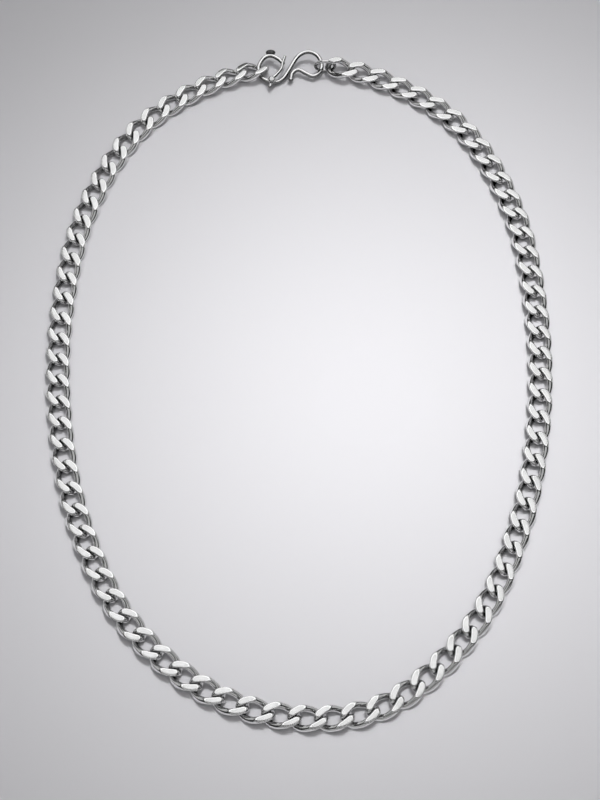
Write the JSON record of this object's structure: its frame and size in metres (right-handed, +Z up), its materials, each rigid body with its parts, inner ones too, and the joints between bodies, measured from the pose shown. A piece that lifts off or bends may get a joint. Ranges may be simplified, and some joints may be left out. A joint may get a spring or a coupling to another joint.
{
  "type": "curb chain necklace",
  "caption": "Neck chain of twisted, flat-ground curb links, closed by an S-shaped hook clasp with a sprung gate, lying open in an oval.",
  "frame": {"origin": "middle of the necklace's box, on the surface that it lies on", "axes": "+Y along the loop's long way towards the clasp, +X across the loop, +Z up"},
  "size_m": [0.1414, 0.2144, 0.0068],
  "materials": {
    "polished_links": "bright polished stainless steel, ground facets with fine hairline wear",
    "polished_clasp": "bright polished stainless steel wire, darker in its hollows"
  },
  "bodies": {
    "necklace": {"chain_right": "polished_links", "chain_left": "polished_links", "s_hook": "polished_clasp", "jump_ring": "polished_clasp"},
    "gate": {"clasp_gate": "polished_clasp"}
  },
  "joints": [
    {"name": "gate_hinge", "type": "hinge", "parent": "necklace", "child": "gate", "pos_m": [-0.00838, 0.09682, 0.0012], "axis": [0, -0.2419, 0.9703], "range_deg": [0, 30], "stiffness_Nm_per_rad": 0.001, "springref_deg": -17.19}
  ]
}
